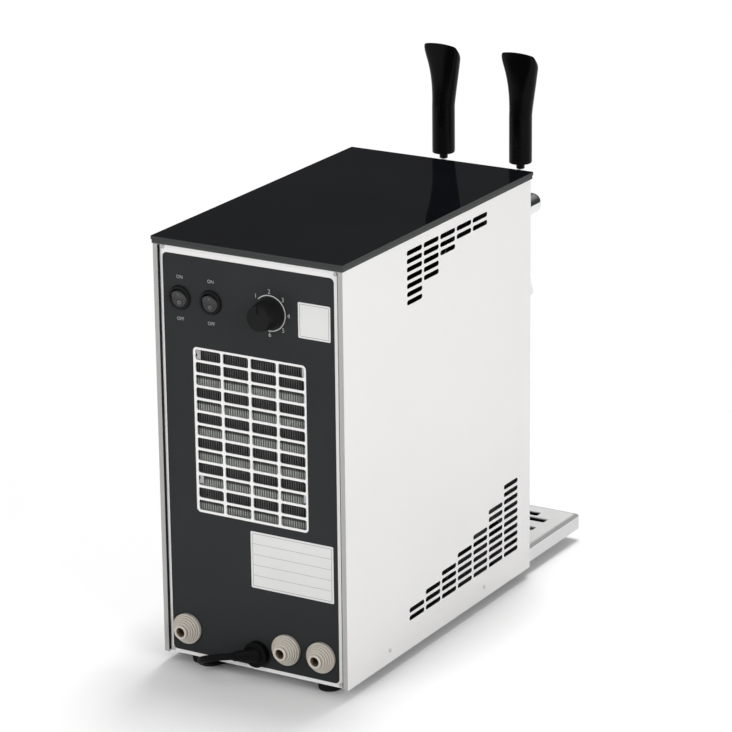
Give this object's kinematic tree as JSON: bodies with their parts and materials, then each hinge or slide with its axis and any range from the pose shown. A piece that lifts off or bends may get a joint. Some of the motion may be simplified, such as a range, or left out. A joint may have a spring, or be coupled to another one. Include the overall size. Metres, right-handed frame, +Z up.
{
  "type": "dry beer cooler",
  "caption": "Countertop dry beer cooler with a louvred steel cabinet, glossy top, finned condenser, cold block, pouring taps with tall handles and a slotted drip tray.",
  "frame": {"origin": "centre of the object in plan, on the surface it stands on", "axes": "+Z up, +Y out of the rear control panel, -Y out of the tap side"},
  "size_m": [0.3232, 0.4997, 0.5125],
  "materials": {
    "galvanised": "spangled zinc",
    "black_rubber": "matt",
    "side_sheet": "satin stainless",
    "front_sheet": "satin stainless",
    "back_sheet": "satin stainless",
    "dark_film": "fine matt film",
    "lid_edge": "satin",
    "dark_glass": "high gloss",
    "zinc": "zinc plated",
    "fins": "bare",
    "copper": "bare copper",
    "black_plastic": "moulded",
    "motor_case": "satin",
    "black_enamel": "satin enamel",
    "cream_plastic": "moulded",
    "cast_block": "cast",
    "steel_tube": "drawn",
    "foam": "black cell rubber",
    "black_hose": "flexible hose",
    "knob_black": "fine satin",
    "rocker_grey": "satin",
    "fitting_grey": "moulded acetal",
    "collet_grey": "moulded acetal",
    "cord_black": "satin",
    "tap_chrome": "polished",
    "handle_black": "satin gloss",
    "steel_sheet": "brushed stainless"
  },
  "bodies": {
    "cabinet": {"base_pan": "galvanised", "feet": "black_rubber", "left_side_panel": "side_sheet", "right_side_panel": "side_sheet", "front_panel": "front_sheet", "back_panel": "back_sheet", "back_film": "dark_film", "lid_frame": "lid_edge", "glass_top": "dark_glass", "panel_screws": "zinc", "condenser_fins": "fins", "condenser_coil": "steel_tube", "condenser_end_plates": "galvanised", "fan_shroud": "black_plastic", "fan_motor": "motor_case", "compressor": "black_enamel", "compressor_mounts": "black_rubber", "terminal_cover": "cream_plastic", "filter_drier": "copper", "refrigerant_lines": "copper", "capillary_tube": "copper", "cold_block": "cast_block", "evaporator_coil": "copper", "beer_coil_1": "steel_tube", "beer_coil_2": "steel_tube", "block_insulation": "foam", "beer_inlet_lines": "black_hose", "air_pump": "motor_case", "air_line": "black_hose", "thermostat": "zinc", "switch_housings": "knob_black", "fitting_bodies": "fitting_grey", "fitting_nuts": "fitting_grey", "cable_gland": "cord_black", "mains_lead": "cord_black", "lead_coil": "cord_black", "coil_tie": "cord_black", "mains_plug": "cord_black", "tap_shanks": "tap_chrome", "tap_bodies": "tap_chrome", "tap_caps": "tap_chrome", "tap_pins": "steel_tube", "tray_bracket": "steel_sheet"},
    "lever_1": {"tap_lever_1": "tap_chrome", "tap_handle_1": "handle_black"},
    "lever_2": {"tap_lever_2": "tap_chrome", "tap_handle_2": "handle_black"},
    "plunger_1": {"tap_plunger_1": "steel_tube"},
    "plunger_2": {"tap_plunger_2": "steel_tube"},
    "flow_1": {"flow_lever_1": "tap_chrome"},
    "flow_2": {"flow_lever_2": "tap_chrome"},
    "knob": {"thermostat_knob": "knob_black"},
    "rocker_1": {"rocker_1": "rocker_grey"},
    "rocker_2": {"rocker_2": "rocker_grey"},
    "fan": {"fan_blade": "black_plastic"},
    "collet_1": {"collet_1": "collet_grey"},
    "collet_2": {"collet_2": "collet_grey"},
    "collet_3": {"collet_3": "collet_grey"},
    "tray": {"drip_tray": "steel_sheet"},
    "grate": {"drip_grate": "steel_sheet"}
  },
  "joints": [
    {"name": "tap_lever_1", "type": "hinge", "parent": "cabinet", "child": "lever_1", "pos_m": [0.0435, -0.2125, 0.366], "axis": [1, 0, 0], "range_deg": [0, 40]},
    {"name": "tap_plunger_1", "type": "slide", "parent": "cabinet", "child": "plunger_1", "axis": [0, 1, 0], "range_m": [0, 0.009]},
    {"name": "flow_lever_1", "type": "hinge", "parent": "cabinet", "child": "flow_1", "pos_m": [0.0435, -0.1535, 0.352], "axis": [1, 0, 0], "range_deg": [-90, 0]},
    {"name": "tap_lever_2", "type": "hinge", "parent": "cabinet", "child": "lever_2", "pos_m": [-0.0435, -0.2125, 0.366], "axis": [1, 0, 0], "range_deg": [0, 40]},
    {"name": "tap_plunger_2", "type": "slide", "parent": "cabinet", "child": "plunger_2", "axis": [0, 1, 0], "range_m": [0, 0.009]},
    {"name": "flow_lever_2", "type": "hinge", "parent": "cabinet", "child": "flow_2", "pos_m": [-0.0435, -0.1535, 0.352], "axis": [1, 0, 0], "range_deg": [-90, 0]},
    {"name": "thermostat_knob", "type": "hinge", "parent": "cabinet", "child": "knob", "pos_m": [-0.022, 0.2349, 0.36], "axis": [0, 1, 0], "range_deg": [-180, 45]},
    {"name": "rocker_1", "type": "hinge", "parent": "cabinet", "child": "rocker_1", "pos_m": [0.0402, 0.2244, 0.361], "axis": [1, 0, 0], "range_deg": [0, 20]},
    {"name": "rocker_2", "type": "hinge", "parent": "cabinet", "child": "rocker_2", "pos_m": [0.0735, 0.2244, 0.361], "axis": [1, 0, 0], "range_deg": [0, 20]},
    {"name": "fan", "type": "hinge", "parent": "cabinet", "child": "fan", "pos_m": [0, 0.1702, 0.236], "axis": [0, 1, 0], "continuous": true},
    {"name": "collet_1", "type": "slide", "parent": "cabinet", "child": "collet_1", "axis": [0, -1, 0], "range_m": [0, 0.0015]},
    {"name": "collet_2", "type": "slide", "parent": "cabinet", "child": "collet_2", "axis": [0, -1, 0], "range_m": [0, 0.0015]},
    {"name": "collet_3", "type": "slide", "parent": "cabinet", "child": "collet_3", "axis": [0, -1, 0], "range_m": [0, 0.0015]},
    {"name": "drip_tray", "type": "slide", "parent": "cabinet", "child": "tray", "axis": [0, 0, 1], "range_m": [0, 0.12]},
    {"name": "drip_grate", "type": "slide", "parent": "tray", "child": "grate", "axis": [0, 0, 1], "range_m": [0, 0.08]}
  ],
  "couplings": [
    {"joint": "tap_plunger_1", "follows": "tap_lever_1", "m_per_rad": 0.012891},
    {"joint": "tap_plunger_2", "follows": "tap_lever_2", "m_per_rad": 0.012891}
  ]
}
